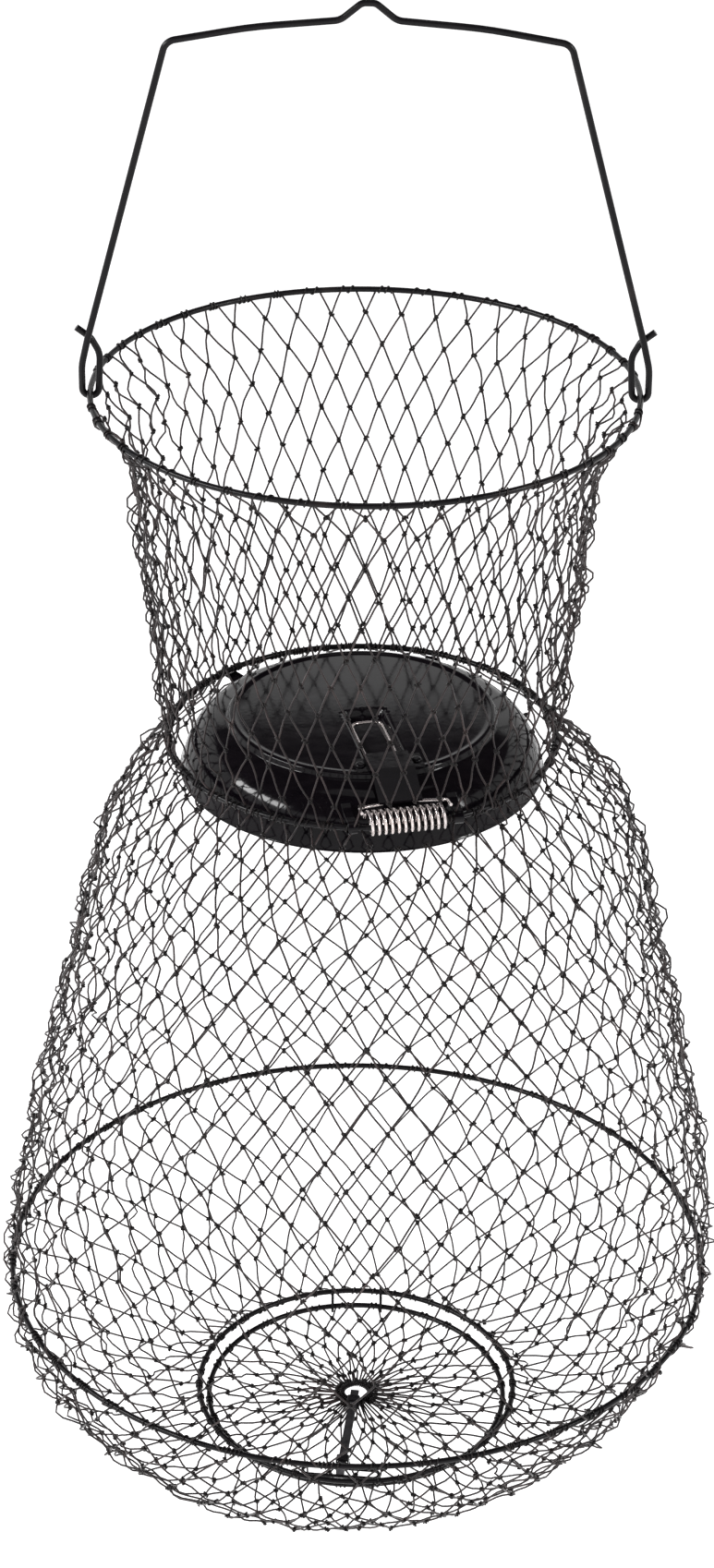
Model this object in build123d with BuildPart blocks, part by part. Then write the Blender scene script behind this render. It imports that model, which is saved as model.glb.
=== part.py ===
from build123d import *
import os
from math import atan2, cos, degrees, hypot, radians, sin, sqrt

# Folding wire-net crab trap, hanging by its bail.
# Millimetres, +Z up, origin under the bail's peak, where a hook or rope carries it.
# The lid hinges at the front (-Y), the bottom door at the back (+Y).

# ---- driving dimensions ----
ring_wire = 1.5            # wire radius of the five rings
bail_wire = 1.7            # wire radius of the bail
wrap_wire = 0.6            # net wire where it turns round a ring
net_thickness = 0.8        # each net's closed stand-in shell

top_radius = 135.6
waist_radius = 100.0
hoop_radius = 190.5
frame_radius = 88.5
door_radius = 83.0

bail_height = 197.5        # top ring's axis to the middle of the peak's wire
upper_height = 191.0       # waist ring to top ring
lower_height = 325.0       # hoop to waist ring
bottom_depth = 90.5        # frame ring to hoop
door_drop = 6.5            # door ring below frame ring

top_level = bail_wire - bail_height
waist_level = top_level - upper_height
hoop_level = waist_level - lower_height
frame_level = hoop_level - bottom_depth
door_level = frame_level - door_drop

lid_turn = 13.0            # the lid's hinge stands this far round from the front, in degrees
door_turn = -6.0           # the same for the door's latch
lid_stops = (67.5, 135.0)  # azimuths of the lid's two stop tabs, each midway between two turns
mesh_count = 48            # meshes round the net, and turns of net wire round each ring

os.makedirs("parts", exist_ok=True)


def turned_planes(level, turn):
    """Top plane (x along the hinge, y inwards, z up) and side plane (x inwards, y up)."""
    along = (cos(radians(turn)), sin(radians(turn)), 0)
    inwards = (-sin(radians(turn)), cos(radians(turn)), 0)
    top = Plane((0, 0, level), x_dir=along, z_dir=(0, 0, 1))
    side = Plane((0, 0, level), x_dir=inwards, z_dir=along)
    return top, side


lid_top, lid_side = turned_planes(waist_level, lid_turn)
door_top, door_side = turned_planes(door_level, door_turn)

# ---- the five wire rings ----
ring_sizes = {
    "top_ring": (top_radius, top_level),
    "waist_ring": (waist_radius, waist_level),
    "hoop": (hoop_radius, hoop_level),
    "frame_ring": (frame_radius, frame_level),
    "door_ring": (door_radius, door_level),
}
for ring_name, (radius, level) in ring_sizes.items():
    with BuildPart() as ring:
        with BuildSketch(Plane.XZ):
            with Locations((radius, level)):
                Circle(ring_wire)
        revolve(axis=Axis.Z)
    ring.part.label = ring_name
    export_step(ring.part, f"parts/{ring_name}.step")

# ---- turns of net wire round each ring ----
# Each entry: turns, azimuth of the first, and the sectors (middle, half width) left free
# for the bail's loops, the lid's hinge, the door's links and the latch.
wrap_play = 0.15
wrap_major = ring_wire + wrap_play + wrap_wire
half_pitch = 180 / mesh_count
wrap_rows = {
    "top_wraps": ("top_ring", mesh_count, half_pitch, [(0, 14), (180, 14)]),
    "waist_wraps": ("waist_ring", mesh_count, half_pitch, [(lid_turn - 90, 20)]),
    "hoop_wraps": ("hoop", mesh_count, half_pitch, []),
    "frame_wraps": ("frame_ring", mesh_count, 90 + half_pitch, [(door_turn - 90, 18)]),
    "door_wraps": ("door_ring", 30, 96, [(door_turn - 90, 21)]),
}


def is_free(azimuth, sectors):
    """True where no sector covers this azimuth."""
    return all(abs((azimuth - middle + 180) % 360 - 180) > half for middle, half in sectors)


for row_name, (ring_name, count, first, sectors) in wrap_rows.items():
    radius, level = ring_sizes[ring_name]
    azimuths = [first + 360 * step / count for step in range(count)]
    turns = [
        Plane(
            (radius * cos(radians(azimuth)), radius * sin(radians(azimuth)), level),
            z_dir=(-sin(radians(azimuth)), cos(radians(azimuth)), 0),
        )
        for azimuth in azimuths
        if is_free(azimuth, sectors)
    ]
    with BuildPart() as wraps:
        with Locations(*turns):
            Torus(wrap_major, wrap_wire)
    wraps.part.label = row_name
    export_step(wraps.part, f"parts/{row_name}.step")

# ---- bail ----
# Half of the wire from the peak to the stub, then mirrored. The foot is a long narrow
# loop round the top ring: the ring rests in its rounded end.
peak_level = bail_wire
shoulder_level = peak_level - 8.5
corner_level = shoulder_level - 11.0
corner_reach = 96.0
loop_half_width = 4.0
loop_rest = 0.2            # play between ring and loop
swing_level = top_level - ring_wire - bail_wire - loop_rest
loop_top = swing_level + 30.0
loop_outer = top_radius + loop_half_width
loop_inner = top_radius - loop_half_width
stub_offset = 2 * bail_wire + 0.3

bail_points = [
    (0, 0, peak_level),
    (3.2, 0, peak_level),
    (13.5, 0, shoulder_level),
    (55, 0, shoulder_level - 3.6),
    (corner_reach, 0, corner_level),
    (top_radius + 0.8, 0, loop_top),
    (loop_outer, 0, loop_top - 14),
    (loop_outer, 0, swing_level),
    (loop_inner, 0, swing_level),
    (loop_inner - 0.9, stub_offset, loop_top - 9),
    (top_radius - 0.6, stub_offset, loop_top - 1),
    (top_radius + 6.5, stub_offset, loop_top + 4.5),
]
bail_bends = [5, 9, 250, 7, 30, 30, 3.9, 3.9, 12, 5]
with BuildPart() as bail:
    with BuildLine() as bail_line:
        FilletPolyline(*bail_points, radius=bail_bends)
    with BuildSketch(Plane(bail_line.line @ 0, z_dir=bail_line.line % 0)):
        Circle(bail_wire)
    sweep()
    mirror(about=Plane.YZ)
bail.part.label = "bail"
export_step(bail.part, "parts/bail.step")

# ---- nets: closed thin shells with the nets' true outer shape ----
# Each outline gives (radius, height above the net's lower ring) from the top down.
net_outlines = {
    "upper_net": (
        waist_level,
        [(131.5, 184), (121, 170), (116, 151), (112.7, 124.4), (108.6, 80.6), (103, 36.8), (101.3, 10.4)],
    ),
    "lower_net": (
        hoop_level,
        [(103.5, 318.5), (115, 310), (131.5, 293), (142, 276), (149.5, 249.5), (159, 205),
         (169.5, 158), (179.5, 111.5), (187.5, 68.6), (192, 25), (192.5, 4)],
    ),
    "bottom_net": (
        frame_level,
        [(192.5, 86.5), (187.5, 65.5), (171, 35), (147, 10), (123, -3), (106, -6.5), (93, -4.5)],
    ),
}


def inside_of(outline):
    """The outline moved inwards by the net's thickness, square to its own run."""
    moved = []
    for index, (radius, height) in enumerate(outline):
        before = outline[max(index - 1, 0)]
        after = outline[min(index + 1, len(outline) - 1)]
        run = hypot(after[0] - before[0], after[1] - before[1])
        moved.append((
            radius + net_thickness * (after[1] - before[1]) / run,
            height - net_thickness * (after[0] - before[0]) / run,
        ))
    return moved


for net_name, (level, outline) in net_outlines.items():
    outer = [(radius, level + height) for radius, height in outline]
    inner = [(radius, level + height) for radius, height in inside_of(outline)]
    with BuildPart() as net:
        with BuildSketch(Plane.XZ):
            with BuildLine():
                Spline(*outer)
                Line(outer[-1], inner[-1])
                Spline(*reversed(inner))
                Line(inner[0], outer[0])
            make_face()
        revolve(axis=Axis.Z)
    net.part.label = net_name
    export_step(net.part, f"parts/{net_name}.step")

# ---- lid: one pressed sheet ----
# Its sketches are in the lid's own planes: y runs inwards from the hinge side.
lid_sheet = 0.8
plateau_radius = 68.0
plateau_height = 13.0
dome_start = (69.6, 10.6)
dome_middle = (86.2, 1.0)
rim_radius = 93.7
rim_depth = 17.0
pocket_half_width = 10.0
pocket_length = 57.0
pocket_depth = 4.0
pocket_floor = plateau_height - pocket_depth

hinge_half_span = 27.0     # middle of each knuckle along the hinge
hinge_reach = sqrt(waist_radius**2 - hinge_half_span**2)
knuckle_bore = 2.5
knuckle_outer = 3.5
knuckle_width = 5.0
tab_depth = 14.0

stop_reach = 99.0
stop_level = -ring_wire - 0.1

with BuildPart() as lid_shell:
    with BuildSketch(Plane((0, 0, waist_level), x_dir=(1, 0, 0), z_dir=(0, -1, 0))):
        with BuildLine():
            top_run = Polyline(
                (0, plateau_height), (plateau_radius, plateau_height), dome_start
            )
            dome = ThreePointArc(dome_start, dome_middle, (rim_radius, -rim_depth))
            rim_edge = Line((rim_radius, -rim_depth), (rim_radius - lid_sheet, -rim_depth))
            under_dome = ThreePointArc(
                (rim_radius - lid_sheet, -rim_depth),
                (dome_middle[0] - 0.6, dome_middle[1] - 0.55),
                (dome_start[0] - 0.6, dome_start[1] - 0.7),
            )
            Polyline(
                under_dome @ 1,
                (plateau_radius - 0.5, plateau_height - lid_sheet),
                (0, plateau_height - lid_sheet),
                (0, plateau_height),
            )
        make_face()
    revolve(axis=Axis.Z)
    with BuildSketch(Plane.XZ):
        with Locations((rim_radius - lid_sheet / 2, waist_level - rim_depth)):
            Circle(1.0)
    revolve(axis=Axis.Z)
    # pocket: its pan below the plateau, then its hollow
    with BuildSketch(lid_top.offset(pocket_floor - lid_sheet)):
        with Locations((0, -pocket_length / 2)):
            RectangleRounded(
                2 * (pocket_half_width + lid_sheet), pocket_length + 2 * lid_sheet, 3 + lid_sheet
            )
    extrude(amount=pocket_depth)
    with BuildSketch(lid_top.offset(pocket_floor)):
        with Locations((0, -pocket_length / 2)):
            RectangleRounded(2 * pocket_half_width, pocket_length, 3)
    extrude(amount=2 * pocket_depth, mode=Mode.SUBTRACT)
    # hinge tabs, rolled round the waist ring
    for side in (-1, 1):
        with BuildSketch(lid_side.offset(side * hinge_half_span)):
            with Locations((-hinge_reach, 0)):
                Circle(knuckle_outer)
            with Locations((-hinge_reach + tab_depth / 2, 0)):
                Rectangle(tab_depth, 1.0)
        extrude(amount=knuckle_width / 2, both=True)
        with BuildSketch(lid_side.offset(side * hinge_half_span)):
            with Locations((-hinge_reach, 0)):
                Circle(knuckle_bore)
        extrude(amount=knuckle_width, both=True, mode=Mode.SUBTRACT)
    # stop tabs, which come up under the waist ring
    for azimuth in lid_stops:
        stop_plane = Plane(
            (0, 0, waist_level + stop_level),
            x_dir=(cos(radians(azimuth)), sin(radians(azimuth)), 0),
            z_dir=(0, 0, -1),
        )
        with BuildSketch(stop_plane):
            with Locations((stop_reach - 6.2, 0)):
                Rectangle(12.4, 8)
        extrude(amount=lid_sheet)
lid_shell.part.label = "lid_shell"
export_step(lid_shell.part, "parts/lid_shell.step")

# ---- torsion spring: coil threaded on the waist ring, arm over the lid ----
spring_wire = 0.8
coil_radius = 5.8
coil_reach = 98.8          # coil's axis, out from the lid's middle
coil_level = 3.0           # and above the waist ring's wire, which the coil hangs on
coil_half_length = 20.0
coil_turns = 12
coil_pitch = 2 * coil_half_length / coil_turns
coil_end = lid_top.from_local_coords((-coil_half_length, -coil_reach, coil_level))
with BuildPart() as lid_spring:
    with BuildLine():
        coil_line = Helix(
            coil_pitch, 2 * coil_half_length, coil_radius, center=coil_end, direction=lid_top.x_dir
        )
    with BuildSketch(Plane(coil_line @ 0, z_dir=coil_line % 0)):
        Circle(spring_wire)
    sweep(is_frenet=True)
lid_spring.part.label = "lid_spring"
export_step(lid_spring.part, "parts/lid_spring.step")

arm_start = 22.6           # arm's end beside the coil, along the hinge
arm_half_width = 8.0
arm_play = 0.15
arm_on_plateau = plateau_height + spring_wire + arm_play
arm_in_pocket = pocket_floor + spring_wire + arm_play
arm_side = [
    (arm_start, -coil_reach, coil_level + coil_radius),
    (arm_start, -91, 7.6),
    (arm_half_width, -85, 5.4),
    (arm_half_width, -68.5, arm_on_plateau + 0.5),
    (arm_half_width, -54, arm_on_plateau),
    (arm_half_width, -48, arm_in_pocket),
    (arm_half_width, -7, arm_in_pocket),
]
arm_points = arm_side + [(-x, y, z) for x, y, z in reversed(arm_side)]
arm_bends = [3, 3, 8, 6, 3, 5, 5, 3, 6, 8, 3, 3]
with BuildPart() as spring_arms:
    with BuildLine(lid_top) as arm_line:
        FilletPolyline(*arm_points, radius=arm_bends)
    with BuildSketch(Plane(arm_line.line @ 0, z_dir=arm_line.line % 0)):
        Circle(spring_wire)
    sweep()
spring_arms.part.label = "spring_arms"
export_step(spring_arms.part, "parts/spring_arms.step")

# ---- strap over the spring arms, with its two rivets ----
strap_sheet = 1.0
strap_half_width = 11.2
strap_foot = 17.5
strap_under = arm_on_plateau + spring_wire + 0.65
strap_outline = [
    (-52, strap_under + strap_sheet), (-68.6, strap_under + strap_sheet), (-86.5, 6.9),
    (-87.2, 6.1), (-68.2, strap_under), (-52, strap_under),
]
strap_back = -52.0
strap_front = -66.0
rivet_reach = (strap_back + strap_front) / 2
rivet_spread = 14.4
rivet_hole = 1.6
with BuildPart() as spring_strap:
    with BuildSketch(lid_side):
        with BuildLine():
            Polyline(*strap_outline, close=True)
        make_face()
    extrude(amount=strap_half_width, both=True)
    with BuildSketch(lid_top.offset(plateau_height + 0.02)):
        with Locations((0, rivet_reach)):
            Rectangle(2 * strap_half_width, strap_back - strap_front)
            Rectangle(2 * (strap_half_width - strap_sheet), strap_back - strap_front, mode=Mode.SUBTRACT)
    extrude(amount=strap_under - plateau_height)
    with BuildSketch(lid_top.offset(plateau_height + 0.02)):
        with Locations((0, rivet_reach)):
            Rectangle(2 * strap_foot, strap_back - strap_front)
            Rectangle(2 * (strap_half_width - strap_sheet), strap_back - strap_front, mode=Mode.SUBTRACT)
        with Locations((-rivet_spread, rivet_reach), (rivet_spread, rivet_reach)):
            Circle(rivet_hole, mode=Mode.SUBTRACT)
    extrude(amount=strap_sheet)
spring_strap.part.label = "spring_strap"
export_step(spring_strap.part, "parts/spring_strap.step")

with BuildPart() as strap_rivets:
    with BuildSketch(lid_top.offset(plateau_height + 0.02)):
        with Locations((-rivet_spread, rivet_reach), (rivet_spread, rivet_reach)):
            Circle(rivet_hole - 0.05)
    extrude(amount=strap_sheet + 0.02)
    with BuildSketch(lid_top.offset(plateau_height + strap_sheet + 0.03)):
        with Locations((-rivet_spread, rivet_reach), (rivet_spread, rivet_reach)):
            Circle(2.7)
    extrude(amount=1.2)
    fillet(strap_rivets.edges().group_by(Axis.Z)[-1], 1.1)
strap_rivets.part.label = "strap_rivets"
export_step(strap_rivets.part, "parts/strap_rivets.step")

# ---- links that hinge the door ring on the frame ring ----
link_spread = 14.0
link_wire = 0.8
link_play = 0.5
door_hinge_reach = sqrt(door_radius**2 - link_spread**2)
frame_hinge_reach = sqrt(frame_radius**2 - link_spread**2)
link_inner = ring_wire + link_play
link_outer = link_inner + 2 * link_wire
link_rise = frame_level - door_level
link_span = hypot(frame_hinge_reach - door_hinge_reach, link_rise)
link_lean = degrees(atan2(link_rise, frame_hinge_reach - door_hinge_reach))
with BuildPart() as door_hinge_links:
    for side in (-1, 1):
        link_plane = Plane(
            (
                side * link_spread,
                (door_hinge_reach + frame_hinge_reach) / 2,
                (door_level + frame_level) / 2,
            ),
            x_dir=(0, cos(radians(link_lean)), sin(radians(link_lean))),
            z_dir=(1, 0, 0),
        )
        with BuildSketch(link_plane):
            SlotCenterToCenter(link_span, 2 * link_outer)
            SlotCenterToCenter(link_span, 2 * link_inner, mode=Mode.SUBTRACT)
        extrude(amount=link_wire, both=True)
    fillet(door_hinge_links.edges(), 0.55)
door_hinge_links.part.label = "door_hinge_links"
export_step(door_hinge_links.part, "parts/door_hinge_links.step")

# ---- door netting, its eyelet and the latch ----
# The latch stands released; 6 mm outwards its tip lies over the frame ring.
eyelet_radius = 8.0
eyelet_wire = 1.0
disc_thickness = 1.0
net_disc_radius = 79.0     # inside the turns of wire and the links on the door ring
with BuildPart() as door_net:
    with BuildSketch(Plane.XY.offset(door_level - disc_thickness / 2)):
        Circle(net_disc_radius)
        Circle(eyelet_radius + eyelet_wire + 0.2, mode=Mode.SUBTRACT)
    extrude(amount=disc_thickness)
door_net.part.label = "door_net"
export_step(door_net.part, "parts/door_net.step")

with BuildPart() as door_eyelet:
    with BuildSketch(Plane.XZ):
        with Locations((eyelet_radius, door_level)):
            Circle(eyelet_wire)
    revolve(axis=Axis.Z)
door_eyelet.part.label = "door_eyelet"
export_step(door_eyelet.part, "parts/door_eyelet.step")

bar_width = 4.6
bar_sheet = 1.2
bar_level = 4.3            # bar's underside above the door ring's plane
bar_back = -5.0
bar_rise_reach = 80.5      # where the bar turns up, inside the frame ring
bar_tip_reach = 86.0
bar_tip_level = door_drop + ring_wire + 0.5
with BuildPart() as latch_bar:
    with BuildSketch(door_side):
        with BuildLine():
            FilletPolyline(
                (bar_back, bar_level),
                (-bar_rise_reach, bar_level),
                (-bar_rise_reach, bar_tip_level + bar_sheet),
                (-bar_tip_reach, bar_tip_level + bar_sheet),
                (-bar_tip_reach, bar_tip_level),
                (-bar_rise_reach + bar_sheet, bar_tip_level),
                (-bar_rise_reach + bar_sheet, bar_level + bar_sheet),
                (bar_back, bar_level + bar_sheet),
                radius=0.25,
                close=True,
            )
        make_face()
    extrude(amount=bar_width / 2, both=True)
latch_bar.part.label = "latch_bar"
export_step(latch_bar.part, "parts/latch_bar.step")

guide_wall = 0.8
guide_gap = 0.45           # play round the bar
guide_length = 5.0
guide_places = (-14.0, -68.0)
guide_floor = disc_thickness / 2 + 0.02
guide_roof = bar_level + bar_sheet + guide_gap
guide_middle = (guide_floor + guide_wall + guide_roof) / 2
with BuildPart() as latch_guides:
    for reach in guide_places:
        guide_plane = Plane(
            door_top.from_local_coords((0, reach, guide_middle)),
            x_dir=door_top.x_dir,
            z_dir=door_side.x_dir,
        )
        with BuildSketch(guide_plane):
            opening_width = bar_width + 2 * guide_gap
            opening_height = guide_roof - guide_floor - guide_wall
            RectangleRounded(opening_width + 2 * guide_wall, opening_height + 2 * guide_wall, 1.0)
            RectangleRounded(opening_width, opening_height, 0.4, mode=Mode.SUBTRACT)
        extrude(amount=guide_length / 2, both=True)
latch_guides.part.label = "latch_guides"
export_step(latch_guides.part, "parts/latch_guides.step")

loop_wire = 0.9
loop_length = 42.0
loop_depth = 7.0
loop_reach = 77.0
with BuildPart() as latch_loop:
    with BuildSketch(door_top.offset(bar_level - 0.02 - 2 * loop_wire)):
        with Locations((0, -loop_reach)):
            SlotOverall(loop_length + 2 * loop_wire, loop_depth + 2 * loop_wire)
            SlotOverall(loop_length - 2 * loop_wire, loop_depth - 2 * loop_wire, mode=Mode.SUBTRACT)
    extrude(amount=2 * loop_wire)
    fillet(latch_loop.edges(), 0.75)
latch_loop.part.label = "latch_loop"
export_step(latch_loop.part, "parts/latch_loop.step")
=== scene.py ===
import math

import bpy
import numpy as np
from mathutils import Matrix, Vector


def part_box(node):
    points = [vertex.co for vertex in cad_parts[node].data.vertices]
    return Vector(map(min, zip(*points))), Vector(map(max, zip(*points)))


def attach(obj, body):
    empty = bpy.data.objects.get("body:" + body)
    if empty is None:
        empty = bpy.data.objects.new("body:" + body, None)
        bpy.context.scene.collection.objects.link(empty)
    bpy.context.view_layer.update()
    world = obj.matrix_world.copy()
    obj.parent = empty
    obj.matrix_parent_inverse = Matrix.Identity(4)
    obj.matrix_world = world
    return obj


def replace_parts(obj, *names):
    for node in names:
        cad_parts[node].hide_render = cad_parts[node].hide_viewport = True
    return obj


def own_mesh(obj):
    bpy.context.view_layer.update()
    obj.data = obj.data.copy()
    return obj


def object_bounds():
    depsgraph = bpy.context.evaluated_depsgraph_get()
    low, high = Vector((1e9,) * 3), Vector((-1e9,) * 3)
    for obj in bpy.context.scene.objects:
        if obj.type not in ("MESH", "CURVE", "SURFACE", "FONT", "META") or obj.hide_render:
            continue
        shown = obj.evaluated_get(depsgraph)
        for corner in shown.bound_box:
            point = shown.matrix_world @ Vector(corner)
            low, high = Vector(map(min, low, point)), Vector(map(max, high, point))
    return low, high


# Folding crab trap: real wire netting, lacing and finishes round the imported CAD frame.
# Metres, +Z up, in the CAD's own frame. MM turns millimetres into metres.
MM = 0.001
TURN = 2 * math.pi

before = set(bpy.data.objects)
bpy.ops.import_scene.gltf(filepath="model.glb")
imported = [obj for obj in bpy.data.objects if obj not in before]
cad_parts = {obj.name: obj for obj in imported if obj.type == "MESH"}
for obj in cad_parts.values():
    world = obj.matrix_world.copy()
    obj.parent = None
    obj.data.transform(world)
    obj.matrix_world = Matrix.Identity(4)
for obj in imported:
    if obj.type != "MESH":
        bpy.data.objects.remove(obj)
cad_low, cad_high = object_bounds()


def add_object(name, mesh):
    """Puts a mesh in the scene as an object of its own."""
    made = bpy.data.objects.new(name, mesh)
    bpy.context.scene.collection.objects.link(made)
    return made


# ---------------------------------------------------------------- camera, lights, stage
SENSOR, LENS = 36.0, 92.82                     # millimetres
CAMERA_PLACE = (-2.4 * MM, -1.844, 0.590)
CAMERA_DOWN = math.radians(28.63)              # how far below the horizon it looks
CAMERA_ROLL = math.radians(0.5)
PAPER_TOP = math.radians(27.8)                 # elevation where the white paper ends
OVERHEAD = (0.07, 0.062, 0.07, 1)              # the dark room above it
FLOOR_REACH, FLOOR_DROP = 60.0, 0.30           # half width, and depth below the trap


def make_camera():
    """The view from above the front, a little below the bail's top."""
    data = bpy.data.cameras.new("camera")
    data.sensor_width = SENSOR
    data.lens = LENS
    data.clip_end = 100.0
    camera = bpy.data.objects.new("camera", data)
    bpy.context.scene.collection.objects.link(camera)
    camera.matrix_world = (
        Matrix.Translation(CAMERA_PLACE)
        @ Matrix.Rotation(math.pi / 2 - CAMERA_DOWN, 4, "X")
        @ Matrix.Rotation(CAMERA_ROLL, 4, "Z")
    )
    bpy.context.scene.camera = camera


def area_light(name, place, target, size, power):
    """A rectangular light at a place, turned towards its target: size in metres, power in watts."""
    data = bpy.data.lights.new(name, "AREA")
    data.shape = "RECTANGLE"
    data.size, data.size_y = size
    data.energy = power
    light = bpy.data.objects.new(name, data)
    light.location = place
    light.rotation_mode = "QUATERNION"
    light.rotation_quaternion = (Vector(target) - Vector(place)).to_track_quat("-Z", "Y")
    bpy.context.scene.collection.objects.link(light)


def make_lights():
    """A long key light from the left, a tall fill from the right, and a faint one from above."""
    middle = (cad_low + cad_high) / 2
    area_light("key_light", (-2.6, -0.7, 1.2), middle, (2.2, 0.5), 90)
    area_light("fill_light", (2.4, -1.1, 0.9), middle, (0.35, 1.2), 26)
    area_light("top_light", (0.2, 0.4, 2.8), middle, (1.6, 1.6), 4)


def make_world():
    """A pale studio: white paper up to a little above the horizon, darker overhead."""
    world = bpy.data.worlds.new("studio")
    bpy.context.scene.world = world
    world.use_nodes = True
    tree = world.node_tree
    tree.nodes.clear()
    place = tree.nodes.new("ShaderNodeTexCoord")
    split = tree.nodes.new("ShaderNodeSeparateXYZ")
    ramp = tree.nodes.new("ShaderNodeValToRGB")
    back = tree.nodes.new("ShaderNodeBackground")
    out = tree.nodes.new("ShaderNodeOutputWorld")
    soft = 0.006
    paper, overhead = ramp.color_ramp.elements
    paper.position = math.sin(PAPER_TOP) - soft
    paper.color = (1, 1, 1, 1)
    overhead.position = math.sin(PAPER_TOP) + soft
    overhead.color = OVERHEAD
    back.inputs["Strength"].default_value = 1.0
    tree.links.new(place.outputs["Generated"], split.inputs[0])
    tree.links.new(split.outputs["Z"], ramp.inputs[0])
    tree.links.new(ramp.outputs[0], back.inputs["Color"])
    tree.links.new(back.outputs[0], out.inputs["Surface"])


def make_floor():
    """A wide plain floor, well below the hanging trap."""
    level = cad_low.z - FLOOR_DROP
    mesh = bpy.data.meshes.new("floor")
    corners = [(x * FLOOR_REACH, y * FLOOR_REACH, level) for x, y in ((-1, -1), (1, -1), (1, 1), (-1, 1))]
    mesh.from_pydata(corners, [], [(0, 1, 2, 3)])
    floor = add_object("floor", mesh)
    material = bpy.data.materials.new("floor_paper")
    material.use_nodes = True
    shader = material.node_tree.nodes["Principled BSDF"]
    shader.inputs["Base Color"].default_value = (0.86, 0.86, 0.86, 1)
    shader.inputs["Roughness"].default_value = 0.9
    shader.inputs["Specular IOR Level"].default_value = 0.1
    shader.inputs["Emission Color"].default_value = (1, 1, 1, 1)
    shader.inputs["Emission Strength"].default_value = 0.8
    mesh.materials.append(material)


# ---------------------------------------------------------------- materials
class Finish:
    """A node material under construction, with short names for the nodes it needs."""

    def __init__(self, name):
        self.material = bpy.data.materials.new(name)
        self.material.use_nodes = True
        self.tree = self.material.node_tree
        self.shader = self.tree.nodes["Principled BSDF"]
        self.place = self.tree.nodes.new("ShaderNodeTexCoord").outputs["Object"]

    def set(self, **values):
        """Sets the shader's own inputs, named with underscores."""
        for key, value in values.items():
            self.shader.inputs[key.replace("_", " ")].default_value = value

    def noise(self, per_metre, detail=3.0, roughness=0.55, stretch=None):
        """Noise in the piece's own space, so that it moves with the piece."""
        where = self.place
        if stretch:
            mapping = self.tree.nodes.new("ShaderNodeMapping")
            mapping.inputs["Scale"].default_value = stretch
            self.tree.links.new(where, mapping.inputs["Vector"])
            where = mapping.outputs["Vector"]
        node = self.tree.nodes.new("ShaderNodeTexNoise")
        node.inputs["Scale"].default_value = per_metre
        node.inputs["Detail"].default_value = detail
        node.inputs["Roughness"].default_value = roughness
        self.tree.links.new(where, node.inputs["Vector"])
        return node.outputs["Fac"]

    def ramp(self, source, stops):
        """Colours along a value: stops are (position, colour)."""
        node = self.tree.nodes.new("ShaderNodeValToRGB")
        elements = node.color_ramp.elements
        while len(elements) < len(stops):
            elements.new(0.5)
        for element, (position, colour) in zip(elements, stops):
            element.position = position
            element.color = (*colour, 1)
        self.tree.links.new(source, node.inputs["Fac"])
        return node.outputs["Color"]

    def grey_ramp(self, source, stops):
        return self.ramp(source, [(position, (value,) * 3) for position, value in stops])

    def mix(self, factor, first, second):
        node = self.tree.nodes.new("ShaderNodeMix")
        node.data_type = "RGBA"
        factor_socket, first_socket, second_socket, result_socket = 0, 6, 7, 2     # those of a colour mix
        self.tree.links.new(factor, node.inputs[factor_socket])
        self.tree.links.new(first, node.inputs[first_socket])
        self.tree.links.new(second, node.inputs[second_socket])
        return node.outputs[result_socket]

    def link(self, source, socket):
        self.tree.links.new(source, self.shader.inputs[socket])

    def bump(self, source, height):
        """Relief from a value, height metres deep."""
        node = self.tree.nodes.new("ShaderNodeBump")
        node.inputs["Distance"].default_value = height
        self.tree.links.new(source, node.inputs["Height"])
        self.tree.links.new(node.outputs["Normal"], self.shader.inputs["Normal"])


def wire_enamel():
    """Gloss black enamel baked on steel wire: runs, thin spots and a slight orange peel."""
    finish = Finish("wire_enamel")
    runs = finish.noise(38, 4)
    thin = finish.noise(170, 3, 0.6)
    finish.link(finish.ramp(runs, [(0.3, (0.004, 0.004, 0.005)), (0.62, (0.009, 0.008, 0.009)),
                                   (0.8, (0.028, 0.022, 0.021))]), "Base Color")
    finish.link(finish.grey_ramp(thin, [(0.3, 0.16), (0.7, 0.38)]), "Roughness")
    finish.set(Specular_IOR_Level=0.16)
    finish.bump(finish.noise(900, 2), 0.00006)
    return finish.material


def net_coating(name, thin, middling, thick):
    """Thin dark coating on net wire: brown-black, darker where it is thick."""
    finish = Finish(name)
    patches = finish.noise(60, 3)
    specks = finish.noise(700, 2)
    finish.link(finish.ramp(patches, [(0.3, thick), (0.55, middling), (0.75, thin)]), "Base Color")
    finish.link(finish.grey_ramp(specks, [(0.3, 0.22), (0.7, 0.42)]), "Roughness")
    finish.set(Specular_IOR_Level=0.22)
    finish.bump(specks, 0.00005)
    return finish.material


def lid_enamel():
    """Gloss black enamel on pressed sheet, with fine dust and faint rubbed marks."""
    finish = Finish("lid_enamel")
    dust = finish.noise(1400, 2, 0.7)
    rubs = finish.noise(42, 5, 0.65, (1.0, 3.2, 1.0))
    base = finish.ramp(rubs, [(0.35, (0.002, 0.0015, 0.0025)), (0.7, (0.006, 0.0045, 0.006))])
    dusty = finish.ramp(dust, [(0.5, (0.006, 0.005, 0.006)), (0.78, (0.04, 0.035, 0.04))])
    finish.link(finish.mix(finish.grey_ramp(dust, [(0.66, 0.0), (0.78, 0.8)]), base, dusty), "Base Color")
    finish.link(finish.grey_ramp(rubs, [(0.3, 0.07), (0.75, 0.14)]), "Roughness")
    finish.set(Specular_IOR_Level=0.2)
    finish.bump(finish.noise(420, 2), 0.00002)
    return finish.material


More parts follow.
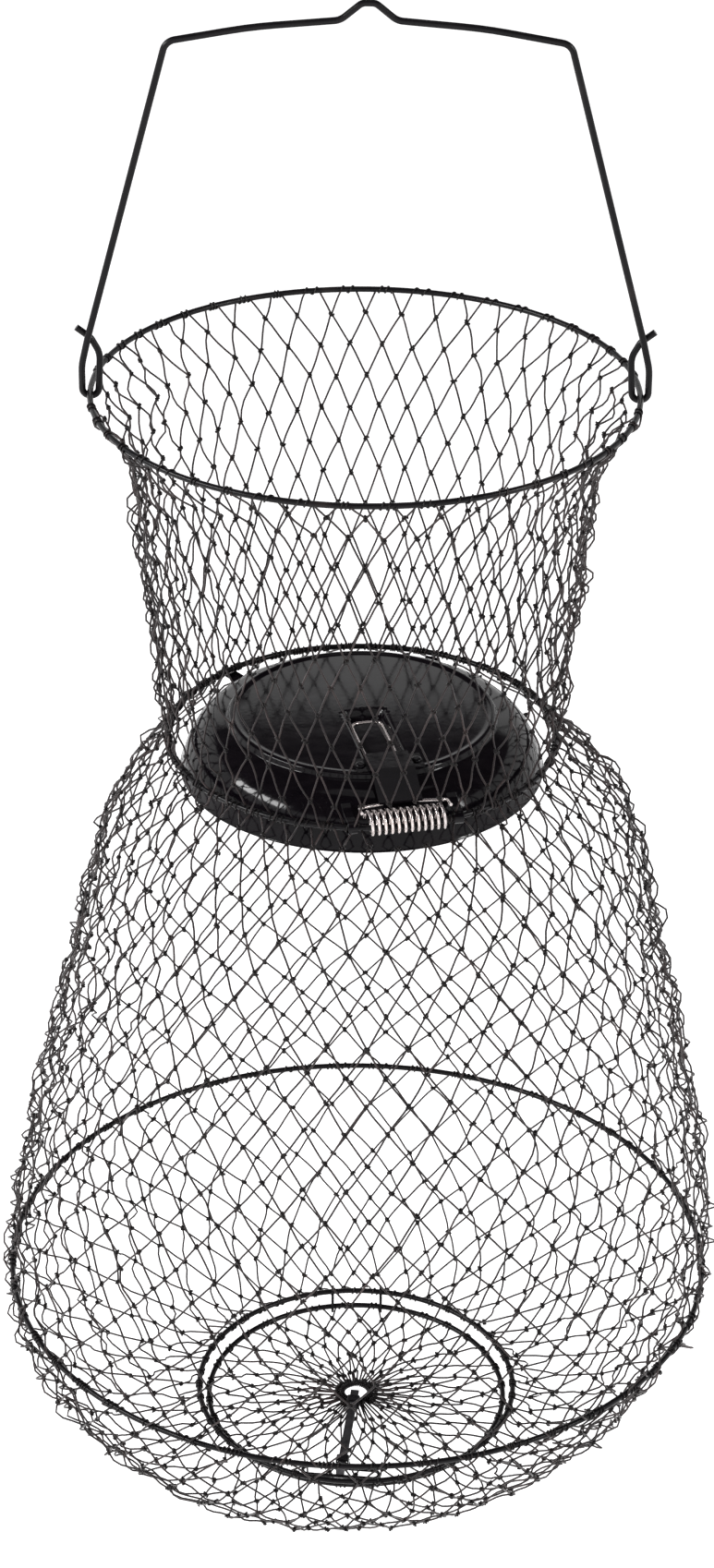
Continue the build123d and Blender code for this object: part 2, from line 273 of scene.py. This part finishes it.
def spring_steel():
    """Bright drawn wire with draw lines and a warm tint where it was heated."""
    finish = Finish("spring_steel")
    drawn = finish.noise(260, 4, 0.6, (0.4, 2.2, 2.2))
    warm = finish.noise(45, 2)
    finish.link(finish.ramp(warm, [(0.35, (0.62, 0.57, 0.565)), (0.7, (0.80, 0.72, 0.69))]), "Base Color")
    finish.link(finish.grey_ramp(drawn, [(0.3, 0.16), (0.75, 0.36)]), "Roughness")
    finish.set(Metallic=1.0)
    finish.bump(drawn, 0.00006)
    return finish.material


def latch_zinc():
    """Dull zinc bar, dark where it has rubbed and stained."""
    finish = Finish("latch_zinc")
    stain = finish.noise(120, 5, 0.65)
    grain = finish.noise(800, 3, 0.6, (1.0, 0.15, 1.0))
    finish.link(finish.ramp(stain, [(0.35, (0.016, 0.015, 0.017)), (0.6, (0.06, 0.057, 0.062)),
                                    (0.8, (0.17, 0.165, 0.17))]), "Base Color")
    finish.link(finish.grey_ramp(grain, [(0.3, 0.30), (0.75, 0.52)]), "Roughness")
    finish.set(Metallic=0.55)
    finish.bump(grain, 0.00006)
    return finish.material


# ---------------------------------------------------------------- wire as mesh
PLAIN, WORKED = 0, 1       # which of a net's two coatings a wire has


def tubes(paths, radius, sides=5):
    """Vertices and faces of closed tubes along paths, an array of (tube, point, xyz)."""
    paths = np.asarray(paths, float)
    count, length, _ = paths.shape
    along = np.gradient(paths, axis=1)
    along /= np.linalg.norm(along, axis=2, keepdims=True) + 1e-12
    off_axis = (0.31, 0.23, 0.92)      # any direction that no wire starts along
    side = np.cross(along[:, 0], off_axis)
    side /= np.linalg.norm(side, axis=1, keepdims=True) + 1e-12
    rings = np.empty((count, length, sides, 3))
    angles = np.arange(sides) * TURN / sides
    for step in range(length):
        side = side - (side * along[:, step]).sum(1, keepdims=True) * along[:, step]
        side /= np.linalg.norm(side, axis=1, keepdims=True) + 1e-12
        other = np.cross(along[:, step], side)
        across = np.cos(angles)[None, :, None] * side[:, None]
        upward = np.sin(angles)[None, :, None] * other[:, None]
        rings[:, step] = paths[:, step][:, None] + radius * (across + upward)
    first = (np.arange(count) * length * sides)[:, None, None]
    step = (np.arange(length - 1) * sides)[None, :, None]
    a = first + step + np.arange(sides)[None, None]
    b = first + step + (np.arange(sides) + 1)[None, None] % sides
    quads = np.stack([a, b, b + sides, a + sides], -1).reshape(-1, 4)
    start_caps = first[:, 0] + np.arange(sides)[::-1][None]
    end_caps = first[:, 0] + (length - 1) * sides + np.arange(sides)[None]
    return rings.reshape(-1, 3), quads.tolist() + start_caps.tolist() + end_caps.tolist()


class Wirework:
    """Collects tubes and turns them into one piece."""

    def __init__(self):
        self.points, self.faces, self.finishes, self.size = [], [], [], 0

    def add(self, paths, radius, finish):
        """Adds tubes: the finish is PLAIN for bars, WORKED for knots and turns."""
        points, faces = tubes(paths, radius)
        self.points.append(points)
        self.finishes.extend([finish] * len(faces))
        self.faces.extend([[index + self.size for index in face] for face in faces])
        self.size += len(points)

    def piece(self, name, materials):
        """One object out of all the tubes, with the two coatings."""
        mesh = bpy.data.meshes.new(name)
        mesh.from_pydata(np.concatenate(self.points).tolist(), [], self.faces)
        mesh.polygons.foreach_set("use_smooth", [True] * len(mesh.polygons))
        for material in materials:
            mesh.materials.append(material)
        mesh.polygons.foreach_set("material_index", self.finishes)
        mesh.update()
        return add_object(name, mesh)


# ---------------------------------------------------------------- the rings, read from the frame
class Ring:
    """A wire ring of the CAD: its radius and level to the wire's middle, and the wire's own radius."""

    def __init__(self, node):
        low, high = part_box(node)
        self.wire = (high.z - low.z) / 2
        self.radius = (high.x - low.x) / 2 - self.wire
        self.level = (high.z + low.z) / 2

    def point(self, azimuth, out, up):
        """Points round the ring, out and up from the wire's middle."""
        azimuth = np.asarray(azimuth, float)
        reach = self.radius + np.asarray(out, float)
        return np.stack([reach * np.cos(azimuth), reach * np.sin(azimuth),
                         self.level + np.asarray(up, float) + 0 * azimuth], -1)


top, waist, hoop, bottom, door = (
    Ring(node) for node in ("top_ring", "waist_ring", "hoop", "frame_ring", "door_ring")
)

# ---------------------------------------------------------------- netting
NET_WIRE = 0.54 * MM       # net wire's radius
KNOT_WIRE = 0.57 * MM      # and where it is worked into a knot
LACE_WIRE = 0.42 * MM      # radius of the turns that tie it to a ring
BAR = 18.6 * MM            # wire between two knots
LEAST_STEP = 0.35          # least distance between knot rows, as a share of the bar
COLUMNS = 48               # meshes round the trap
KNOT_HALF = 1.50 * MM      # half of a knot's length
KNOT_COIL = 0.84 * MM      # radius that a knot's turns follow
KNOT_TURN = 2.4 * math.pi  # half of the angle that they go through
KNOT_LEAN = 0.85           # how far a knot lies out of level, along one of its bars
BAR_START = 0.2 * KNOT_HALF    # how far beside the knot's middle a bar leaves it
ROW_WAVE = 2.2 * MM        # unevenness of a row of knots, up and down
SIDE_WAVE = 0.02           # and along the row, in radians
SCATTER = 0.4 * MM         # unevenness of each knot, along the net
DEPTH = 1.0 * MM           # and out of it
CROWD_REACH = 45 * MM      # how far down from the top ring the meshes crowd together

# Sectors (middle, half width) of a ring that the lacing leaves free
BAIL_FEET = [(0, math.radians(7)), (math.pi, math.radians(7))]
SPRING = [(math.radians(-77), math.radians(12))]
LATCH = [(math.radians(-96), math.radians(4.5))]


def smooth(points, per_span=24):
    """A Catmull-Rom line through (radius, level) points."""
    p = np.array(points, float)
    p = np.vstack([2 * p[0] - p[1], p, 2 * p[-1] - p[-2]])
    t = np.linspace(0, 1, per_span, endpoint=False)[:, None]
    spans = []
    for a, b, c, d in zip(p, p[1:], p[2:], p[3:]):
        spans.append(0.5 * (2 * b + (c - a) * t + (2 * a - 5 * b + 4 * c - d) * t**2
                            + (3 * b - a - 3 * c + d) * t**3))
    return np.vstack(spans + [p[-2][None]])


class Profile:
    """A net's outline from its upper ring to its lower one, measured along its own length."""

    def __init__(self, points):
        self.line = smooth(points)
        steps = np.linalg.norm(np.diff(self.line, axis=0), axis=1)
        self.run = np.concatenate([[0], np.cumsum(steps)])
        self.length = self.run[-1]

    def at(self, distance):
        """Radius and level at a distance down the net."""
        distance = np.clip(distance, 0, self.length)
        radius, level = self.line.T
        return np.interp(distance, self.run, radius), np.interp(distance, self.run, level)

    def rows(self, first, last):
        """Distances of the knot rows, as far apart as the bar allows at each radius."""
        places = [first]
        while True:
            radius, _ = self.at(places[-1])
            half = math.pi * radius / COLUMNS
            step = math.sqrt(max(BAR**2 - half**2, (LEAST_STEP * BAR) ** 2))
            if places[-1] + step > self.length - last + 0.4 * step:
                break
            places.append(places[-1] + step)
        places = np.array(places)
        stretch = (self.length - last - first) / (places[-1] - first)
        return first + (places - first) * stretch


def waves(azimuth, along, size, seed):
    """Slow, seamless unevenness round the net and down it."""
    draw = np.random.default_rng(seed)
    total = 0 * azimuth
    for turns in (1, 2, 3, 5, 8):
        phase, drift = draw.uniform(0, TURN, 2)
        total = total + np.sin(turns * azimuth + phase + (2 + drift) * along) / turns**0.6
    return size * total / 2


class Net:
    """Knotted netting on a profile: rows of knots joined by bars.

    crowd draws meshes together at the top ring's sides, slack scales all unevenness, offset turns the
    knots round by a share of a mesh, and sag(azimuth, share of the way down) adds to their radius.
    """

    def __init__(self, profile, columns, places, seed, crowd=0.0, slack=1.0, offset=0.0, sag=None):
        self.draw = np.random.default_rng(seed)
        self.slack = slack
        self.rows = []
        for row, distance in enumerate(places):
            azimuth = (np.arange(columns) + 0.5 * (row % 2) + offset) * TURN / columns
            near_top = math.exp(-distance / CROWD_REACH)
            azimuth = azimuth - crowd * near_top * np.sin(2 * azimuth)
            share = distance / profile.length
            loose = slack * min(1, 5 * share * (1 - share) + 0.15)
            where = distance + waves(azimuth, share, ROW_WAVE * loose, seed + 1)
            where = where + self.draw.normal(0, SCATTER * slack, columns)
            radius, level = profile.at(where)
            azimuth = azimuth + waves(azimuth, share, SIDE_WAVE * loose, seed + 2)
            azimuth = azimuth + self.draw.normal(0, SCATTER * slack, columns) / radius
            radius = radius + self.draw.normal(0, DEPTH * slack, columns)
            if sag:
                radius = radius + sag(azimuth, share)
            self.rows.append(np.stack([radius * np.cos(azimuth), radius * np.sin(azimuth), level], -1))

    def axes(self, points):
        """Outward and sideways unit vectors at points, an array of (point, xyz)."""
        out = points * (1, 1, 0)
        out /= np.linalg.norm(out, axis=-1, keepdims=True)
        return out, np.stack([-out[..., 1], out[..., 0], 0 * out[..., 0]], -1)

    def bar_paths(self, start, end):
        """Bars between matching points, each with its own bow and twist, most at the trap's sides."""
        count = len(start)
        u = np.array([0, 0.08, 0.26, 0.5, 0.74, 0.92, 1])[None, :, None]
        path = start[:, None] * (1 - u) + end[:, None] * u
        out, side = self.axes((start + end) / 2)
        loose = self.slack * (0.3 + 1.2 * (out[:, None, :1]) ** 2)
        bow_out = self.draw.normal(0.8 * MM, 1.4 * MM, (count, 1, 1)) * loose
        bow_side = self.draw.normal(0, 0.3 * MM, (count, 1, 1)) * loose
        twist = self.draw.normal(0, 0.25 * MM, (count, 1, 1)) * loose
        kick = self.draw.normal(0, 0.7 * MM, (count, 1, 1)) * loose
        hump = np.sin(math.pi * u)
        path = path + (bow_out * out[:, None] + bow_side * side[:, None]) * hump
        return path + np.sin(TURN * u) * (twist * side[:, None] + kick * out[:, None])

    def weave(self, work):
        """Bars and knots of the whole net."""
        inside = np.array((0, 0, 0.2 * MM))
        for row, (above, below) in enumerate(zip(self.rows, self.rows[1:])):
            # every other row stands half a mesh further round
            for lean, along in ((-1, 0 if row % 2 else 1), (1, -1 if row % 2 else 0)):
                partner = np.roll(below, along, axis=0)
                _, side_above = self.axes(above)
                _, side_below = self.axes(partner)
                start = above + lean * BAR_START * side_above - inside
                end = partner - lean * BAR_START * side_below + inside
                work.add(self.bar_paths(start, end), NET_WIRE, PLAIN)
        for knots in self.rows:
            self.knot_coils(work, knots)

    def knot_coils(self, work, knots):
        """Each knot is nearly two and a half turns of wire, lying roughly along one of its bars."""
        count = len(knots)
        out, side = self.axes(knots)
        lean = self.draw.choice((-KNOT_LEAN, KNOT_LEAN), (count, 1))
        lean = lean + self.draw.normal(0, 0.3, (count, 1))
        axis = side * np.cos(lean) + np.array((0, 0, 1)) * np.sin(lean)
        up = np.cross(out, axis)
        phase = self.draw.uniform(0, TURN, (count, 1, 1))
        u = np.linspace(-1, 1, 15)[None, :, None]
        angle = phase + KNOT_TURN * u
        taper = 1 - 0.25 * u**2
        path = (knots[:, None] + u * KNOT_HALF * axis[:, None]
                + KNOT_COIL * taper * (np.cos(angle) * out[:, None] + np.sin(angle) * up[:, None]))
        work.add(path, KNOT_WIRE, WORKED)

    def lace(self, work, ring, row, spread, below, free=()):
        """Ties one row of knots to a ring: each pair of bars ends in turns round the ring's wire.

        spread is the turns' width as a share of a mesh; below says that the net hangs from the ring.
        """
        knots = self.rows[row]
        azimuth = np.unwrap(np.arctan2(knots[:, 1], knots[:, 0]))
        after = np.roll(azimuth, -1)
        after[-1] += TURN
        middle = (azimuth + after) / 2
        pitch = after - azimuth
        half = spread * pitch * self.draw.uniform(0.5, 1.2, len(knots))
        around = ring.wire + 0.9 * LACE_WIRE
        turns = self.draw.integers(1, 3, len(knots)) + 0.5
        u = np.linspace(0, 1, 25)
        start_phase = -math.pi / 2 if below else math.pi / 2
        angle = start_phase + TURN * np.outer(turns, u - 0.5)
        where = middle[:, None] + np.outer(half, 2 * u - 1)
        keep = np.full(len(knots), True)
        for centre, width in free:
            keep &= np.abs((middle - centre + math.pi) % TURN - math.pi) > width
        coils = ring.point(where, around * np.cos(angle), around * np.sin(angle))
        work.add(coils[keep], LACE_WIRE, WORKED)
        for lean, end in ((1, 0), (-1, -1)):
            partner = knots if lean == 1 else np.roll(knots, -1, axis=0)
            _, side = self.axes(partner)
            away = np.array((0, 0, 0.25 * MM if below else -0.25 * MM))
            start = partner + lean * BAR_START * side + away
            work.add(self.bar_paths(start[keep], coils[keep][:, end]), NET_WIRE, PLAIN)


def upper_netting(materials):
    """Netting from the top ring down to the waist."""
    profile = Profile([
        (top.radius - 1.0 * MM, top.level - 2 * MM),
        (120.5 * MM, waist.level + 170 * MM),
        (115.5 * MM, waist.level + 151 * MM),
        (112.2 * MM, waist.level + 124.4 * MM),
        (108.6 * MM, waist.level + 80.6 * MM),
        (103 * MM, waist.level + 36.8 * MM),
        (waist.radius + 0.4 * MM, waist.level + 2 * MM),
    ])
    net = Net(profile, COLUMNS, profile.rows(10.5 * MM, 11 * MM), 31, crowd=0.06)
    work = Wirework()
    net.weave(work)
    net.lace(work, top, 0, 0.22, below=True, free=BAIL_FEET)
    net.lace(work, waist, -1, 0.16, below=False, free=SPRING)
    made = work.piece("upper_netting", materials)
    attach(made, "top_ring")
    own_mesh(made)
    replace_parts(made, "upper_net", "top_wraps")


def lower_netting(materials):
    """Netting from the waist down to the hoop."""
    profile = Profile([
        (waist.radius + 0.5 * MM, waist.level - 2 * MM),
        (115 * MM, hoop.level + 310 * MM),
        (131.5 * MM, hoop.level + 293 * MM),
        (142 * MM, hoop.level + 276 * MM),
        (149.5 * MM, hoop.level + 249.5 * MM),
        (159 * MM, hoop.level + 205 * MM),
        (169.5 * MM, hoop.level + 158 * MM),
        (179.5 * MM, hoop.level + 111.5 * MM),
        (187.5 * MM, hoop.level + 68.6 * MM),
        (191.2 * MM, hoop.level + 25 * MM),
        (hoop.radius + 0.5 * MM, hoop.level + 2 * MM),
    ])

    def pulled_in(azimuth, share):
        """The left side stands a little less far out than the right."""
        left = np.maximum(-np.cos(azimuth), 0) ** 1.5
        return -left * MM * np.interp(share, [0, 0.1, 0.25, 0.5, 0.8, 1], [0, 8, 9.5, 8.5, 6, 0])

    net = Net(profile, COLUMNS, profile.rows(9 * MM, 9 * MM), 57,
              slack=1.15, offset=0.31, sag=pulled_in)
    work = Wirework()
    net.weave(work)
    net.lace(work, waist, 0, 0.2, below=True, free=SPRING)
    net.lace(work, hoop, -1, 0.12, below=False)
    made = work.piece("lower_netting", materials)
    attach(made, "waist_ring")
    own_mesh(made)
    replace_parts(made, "lower_net", "waist_wraps")


def bottom_netting(materials):
    """The bag of netting from the hoop down to the bottom frame."""
    profile = Profile([
        (hoop.radius + 0.8 * MM, hoop.level - 2 * MM),
        (187.5 * MM, bottom.level + 65.5 * MM),
        (171 * MM, bottom.level + 35 * MM),
        (147 * MM, bottom.level + 10 * MM),
        (123 * MM, bottom.level - 3 * MM),
        (105 * MM, bottom.level - 6 * MM),
        (bottom.radius + 2 * MM, bottom.level - 1.5 * MM),
    ])

    def drawn_up(azimuth, share):
        """The front right of the bag is drawn in more than the rest."""
        near = np.maximum(np.cos(azimuth - math.radians(-38)), 0) ** 1.5
        return -near * MM * np.interp(share, [0, 0.15, 0.4, 0.7, 1], [0, 8, 13, 9, 0])

    net = Net(profile, COLUMNS, profile.rows(9 * MM, 9 * MM), 83,
              slack=1.5, offset=0.12, sag=drawn_up)
    work = Wirework()
    net.weave(work)
    net.lace(work, hoop, 0, 0.12, below=True)
    net.lace(work, bottom, -1, 0.2, below=False, free=LATCH)
    made = work.piece("bottom_netting", materials)
    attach(made, "hoop")
    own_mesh(made)
    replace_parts(made, "bottom_net", "hoop_wraps", "frame_wraps")


def door_netting(materials):
    """Netting across the door ring, drawn together round the eyelet in its middle."""
    columns = 32
    low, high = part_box("door_eyelet")
    eyelet_reach = (high.x - low.x) / 2
    profile = Profile([
        (door.radius - 2 * MM, door.level - 0.6 * MM),
        (60 * MM, door.level - 1.2 * MM),
        (30 * MM, door.level - 1.0 * MM),
        (eyelet_reach, door.level - 0.4 * MM),
    ])
    net = Net(profile, columns, np.array([10, 22, 35, 48, 59]) * MM, 101, slack=1.1)
    for row in net.rows:
        row[:, 2] = np.clip(row[:, 2], door.level - 2.2 * MM, door.level - 0.2 * MM)
    work = Wirework()
    net.weave(work)
    net.lace(work, door, 0, 0.2, below=True)
    inner = net.rows[-1]
    azimuth = np.arctan2(inner[:, 1], inner[:, 0])
    eyelet = Ring("door_eyelet")
    for lean in (-1, 1):
        spread = net.draw.normal(0.045, 0.02, columns)
        ends = eyelet.point(azimuth + lean * spread, eyelet.wire * 0.4, -eyelet.wire)
        _, side = net.axes(inner)
        work.add(net.bar_paths(inner + lean * 0.8 * KNOT_HALF * side, ends), NET_WIRE, PLAIN)
        lumps = eyelet.point(azimuth + lean * spread, eyelet.wire + 2.2 * MM, -0.4 * MM)
        net.knot_coils(work, lumps[::2])
    # one long winding round the eyelet's wire, with uneven turns
    azimuth = np.linspace(0, TURN, 1200)
    winding = 38 * azimuth + 0.5 * np.sin(5 * azimuth)
    reach = eyelet.wire + LACE_WIRE
    turns = eyelet.point(azimuth, reach * np.cos(winding), reach * np.sin(winding))
    work.add(turns[None], LACE_WIRE, WORKED)
    made = work.piece("door_netting", materials)
    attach(made, "bottom_door")
    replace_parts(made, "door_net", "door_wraps")


# ---------------------------------------------------------------- the pressed lid
LID_TURN = math.radians(13)      # the lid's hinge stands this far round from the front
HINGE_SPAN = 27 * MM             # middle of each knuckle along the hinge
KNUCKLE_ROLL = 3.0 * MM          # radius that a knuckle is rolled to, round the waist ring
KNUCKLE_WIDTH, STOP_WIDTH = 5.0 * MM, 8.0 * MM
STOPS = (67.5, 135.0)            # azimuths of the stop tabs, in degrees
SHEET = 0.8 * MM
LID_AROUND = 480                 # points in each of the lid's rows
PLATEAU_ROWS = 44                # rows between the lid's middle and the plateau's edge
CROWN, CROWN_RISE, CROWN_REACH = 12.9, 1.0, 64.6     # the plateau's level, rise and radius, in mm
# radius and level of the lid's section, in mm, from the plateau's raised edge to the rim
SECTION = [(66.4, 13.8), (68.3, 13.4), (69.6, 10.2), (79.5, 7.9), (86.4, 1.2),
           (91.2, -8.0), (93.3, -16.0), (94.3, -17.6), (93.0, -18.1)]
BENDS = [1.0, 0.8, 0.8, 0.9, 4.5, 4.0, 4.2, 1.2, 0.5]    # how far each corner's rounding reaches
POCKET_HALF, POCKET_CORNER = 10.0 * MM, 3.0 * MM     # half width and corner radius
POCKET_END, POCKET_DEPTH = -57.0 * MM, 4.0 * MM
DENT = 0.12 * MM                 # depth of the stiffening dents round the shoulder


def fillet_line(points, bends, per_bend=7):
    """A polyline with rounded corners: bends gives each inner corner's cut length."""
    p = [np.array(point, float) for point in points]
    line = [p[0]]
    for before, corner, after, cut in zip(p, p[1:], p[2:], bends):
        a = corner + (before - corner) / np.linalg.norm(before - corner) * cut
        b = corner + (after - corner) / np.linalg.norm(after - corner) * cut
        for t in np.linspace(0, 1, per_bend):
            line.append((1 - t) ** 2 * a + 2 * t * (1 - t) * corner + t**2 * b)
    line.append(p[-1])
    return np.array(line)


def ease(x):
    """0 to 1 with a soft start and end."""
    x = np.clip(x, 0, 1)
    return x * x * (3 - 2 * x)


def pocket(x, y):
    """1 inside the pocket, which runs from the lid's middle towards the hinge, and 0 outside it."""
    dx = np.abs(x) - (POCKET_HALF - POCKET_CORNER)
    dy = np.abs(y - POCKET_END / 2) - (-POCKET_END / 2 - POCKET_CORNER)
    outside = np.hypot(np.maximum(dx, 0), np.maximum(dy, 0))
    edge = outside + np.minimum(np.maximum(dx, dy), 0) - POCKET_CORNER
    return ease((1.1 * MM - edge) / (1.9 * MM))


def lid_pressing(material):
    """The lid's sheet: crowned plateau with a raised edge and a pocket, rolled shoulder and skirt."""
    outline = fillet_line([(0, CROWN), (CROWN_REACH, CROWN)] + SECTION, BENDS)
    plateau = np.linspace(0, outline[1][0], PLATEAU_ROWS + 1)[:-1]
    outline = np.vstack([np.stack([plateau, np.full(PLATEAU_ROWS, CROWN)], -1), outline[1:]])
    outline[:, 1] += CROWN_RISE * np.clip(1 - (outline[:, 0] / CROWN_REACH) ** 2, 0, 1)
    outline *= MM
    azimuth = np.arange(LID_AROUND) * TURN / LID_AROUND
    reach = outline[:, 0][:, None] + 0 * azimuth
    level = outline[:, 1][:, None] + 0 * azimuth
    x, y = reach * np.cos(azimuth), reach * np.sin(azimuth)
    level = level - POCKET_DEPTH * pocket(x, y) * (reach < 67 * MM)
    shoulder = ease((reach / MM - 70) / 6) * ease((86 - reach / MM) / 6)
    level = level + DENT * np.sin(9 * azimuth + 0.6) * shoulder
    upper = np.stack([x, y, level], -1)
    # the lower skin lies below the plateau, and inside the skirt
    inward = np.clip((reach / MM - 80) / 12, 0, 1)[..., None] * SHEET
    outward = np.stack([np.cos(azimuth), np.sin(azimuth), 0 * azimuth], -1)[None]
    under = upper - (0, 0, SHEET) - outward * inward + inward * (0, 0, 1)
    # each skin is one middle vertex, then its rows of points
    rows = len(outline) - 1
    skin_size = 1 + rows * LID_AROUND
    vertices = []
    for skin in (upper, under):
        vertices += [skin[0, 0].tolist()] + skin[1:].reshape(-1, 3).tolist()
    index = 1 + np.arange(rows * LID_AROUND).reshape(rows, LID_AROUND)
    after = np.roll(index, -1, axis=1)
    fan = np.stack([0 * index[0], index[0], after[0]], -1)
    bands = np.stack([index[:-1], index[1:], after[1:], after[:-1]], -1).reshape(-1, 4)
    rim = np.stack([index[-1], index[-1] + skin_size, after[-1] + skin_size, after[-1]], -1)
    faces = fan.tolist() + bands.tolist() + rim.tolist()
    faces += (fan[:, ::-1] + skin_size).tolist() + (bands[:, ::-1] + skin_size).tolist()
    mesh = bpy.data.meshes.new("lid_pressing")
    mesh.from_pydata(vertices, [], faces)
    mesh.polygons.foreach_set("use_smooth", [True] * len(mesh.polygons))
    mesh.materials.append(material)
    mesh.update()
    made = add_object("lid_pressing", mesh)
    mesh.transform(lid_place(LID_TURN))
    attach(made, "lid")
    return made


def lid_place(turn):
    """To the frame's axes from a part of the lid that was made with -y outwards."""
    return Matrix.Translation((0, 0, waist.level)) @ Matrix.Rotation(turn, 4, "Z")


def bent_strip(line, width, thickness, along):
    """Vertices and faces of a strip of sheet: a (reach, level) line, swept along the hinge."""
    line = np.asarray(line, float)
    tangent = np.gradient(line, axis=0)
    tangent /= np.linalg.norm(tangent, axis=1, keepdims=True)
    normal = np.stack([-tangent[:, 1], tangent[:, 0]], -1)
    half, flat = width / 2, width / 2 - 0.3 * thickness
    # across the strip, and along its normal as a share of the thickness: a bevelled rectangle
    section = [(-flat, 0.5), (flat, 0.5), (half, 0.2), (half, -0.2),
               (flat, -0.5), (-flat, -0.5), (-half, -0.2), (-half, 0.2)]
    points = []
    for place, outward in zip(line, normal):
        for across, height in section:
            reach, level = place + outward * height * thickness
            points.append((along + across, -reach, level))
    size = len(section)
    faces = [list(range(size))]
    for step in range(len(line) - 1):
        for k in range(size):
            a, b = step * size + k, step * size + (k + 1) % size
            faces.append([a, a + size, b + size, b])
    faces.append([(len(line) - 1) * size + k for k in reversed(range(size))])
    return points, faces


def lid_tabs(material):
    """Two hinge knuckles rolled round the waist ring, and two stop tabs that come up under it."""
    hinge_reach = math.sqrt(waist.radius**2 - HINGE_SPAN**2)
    angles = np.radians(np.linspace(90, -215, 34))
    rolled = KNUCKLE_ROLL * np.stack([np.cos(angles), np.sin(angles)], -1) + (hinge_reach, 0)
    lead = np.array([(81.5, 5.6), (84.0, 4.4), (87.5, 3.3), (91.5, 3.0)]) * MM
    knuckle = np.vstack([lead, rolled])
    stop = np.array([(86.0, -4.6), (90.0, -3.2), (94.0, -2.35), (98.9, -2.0)]) * MM
    points, faces = [], []

    def take(strip, turn):
        strip_points, strip_faces = strip
        base = len(points)
        points.extend(tuple(lid_place(turn) @ Vector(point)) for point in strip_points)
        faces.extend([[index + base for index in face] for face in strip_faces])

    for side in (-1, 1):
        take(bent_strip(knuckle, KNUCKLE_WIDTH, SHEET, side * HINGE_SPAN), LID_TURN)
    for azimuth in STOPS:
        take(bent_strip(stop, STOP_WIDTH, SHEET * 0.9, 0), math.radians(azimuth + 90))
    mesh = bpy.data.meshes.new("lid_tabs")
    mesh.from_pydata(points, [], faces)
    mesh.materials.append(material)
    mesh.update()
    tabs = add_object("lid_tabs", mesh)
    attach(tabs, "lid")


# ---------------------------------------------------------------- finishes on the CAD pieces
def dress(nodes, material):
    """Gives the CAD's own pieces a finish."""
    for node in nodes:
        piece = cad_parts[node]
        piece.data.materials.clear()
        piece.data.materials.append(material)


def dress_cad():
    """Finishes on every piece that isn't netting, and the lid's finer sheet."""
    dress(("bail", "top_ring", "waist_ring", "hoop", "frame_ring", "door_ring", "door_hinge_links",
           "latch_guides", "latch_loop", "door_eyelet"), wire_enamel())
    enamelled = lid_enamel()
    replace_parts(lid_pressing(enamelled), "lid_shell")
    lid_tabs(enamelled)
    dress(("spring_strap", "strap_rivets"), enamelled)
    dress(("lid_spring", "spring_arms"), spring_steel())
    dress(("latch_bar",), latch_zinc())


# ---------------------------------------------------------------- the scene
make_camera()
make_lights()
make_world()
make_floor()
bpy.context.scene.view_settings.view_transform = "Standard"
coating = (
    net_coating("net_coating", (0.062, 0.045, 0.044), (0.028, 0.021, 0.021), (0.012, 0.010, 0.011)),
    net_coating("knot_coating", (0.030, 0.022, 0.021), (0.011, 0.009, 0.009), (0.005, 0.004, 0.005)),
)
upper_netting(coating)
lower_netting(coating)
bottom_netting(coating)
door_netting(coating)
dress_cad()
